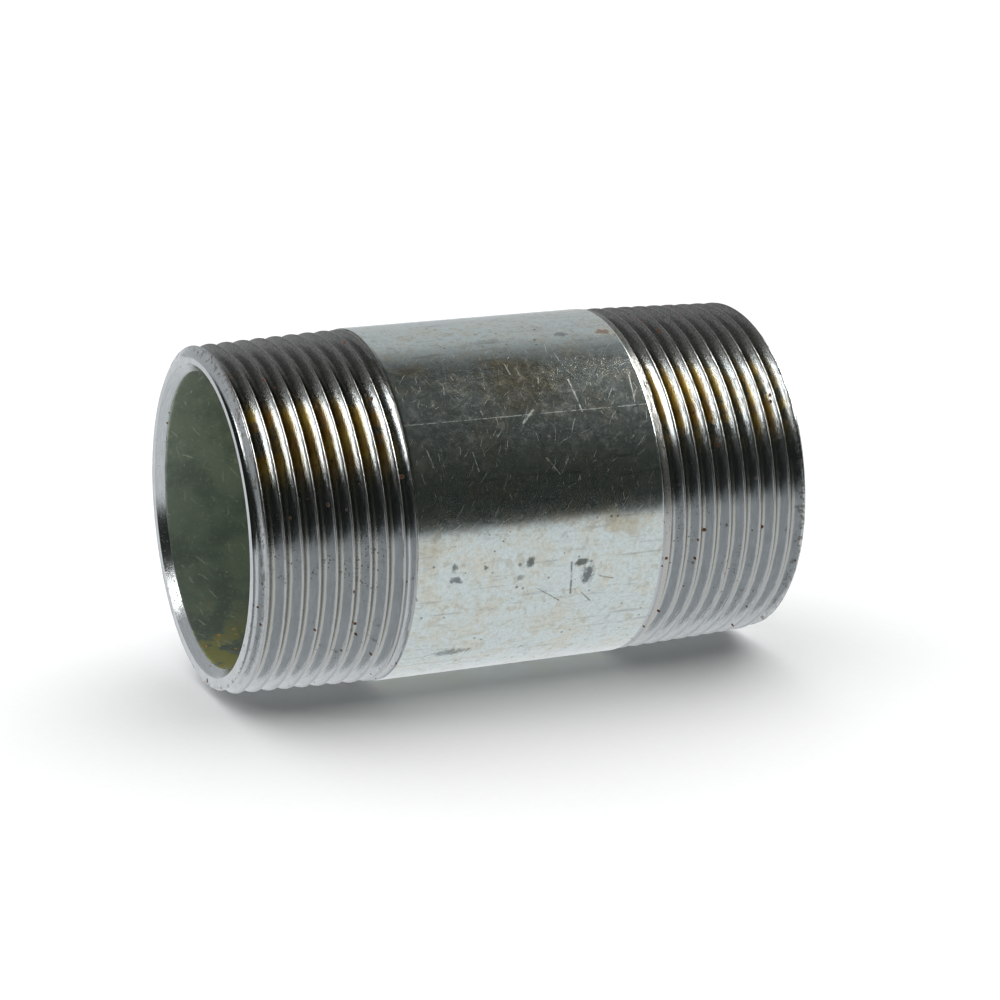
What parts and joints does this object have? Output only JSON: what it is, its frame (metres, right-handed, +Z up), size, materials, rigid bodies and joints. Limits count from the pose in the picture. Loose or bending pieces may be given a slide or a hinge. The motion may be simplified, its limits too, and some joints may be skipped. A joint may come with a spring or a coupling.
{
  "type": "threaded pipe nipple",
  "caption": "Straight galvanised steel pipe nipple that joins two female fittings, with a taper pipe thread on each end and a plain barrel between.",
  "frame": {"origin": "middle of the pipe's axis, half way between the two end faces", "axes": "+X along the pipe's axis, +Z up with the pipe lying on its side"},
  "size_m": [0.08, 0.0484, 0.0485],
  "materials": {
    "bare_steel": "die-cut and oily, dark, with rust specks",
    "outside_zinc": "hot-dip zinc, satin, mottled and scratched",
    "bore_zinc": "hot-dip zinc, dull, with rust specks"
  },
  "bodies": {
    "root": {"steel_pipe": "bare_steel", "weld_seam": "bare_steel", "zinc_sleeve": "outside_zinc", "zinc_lining": "bore_zinc"}
  },
  "joints": []
}
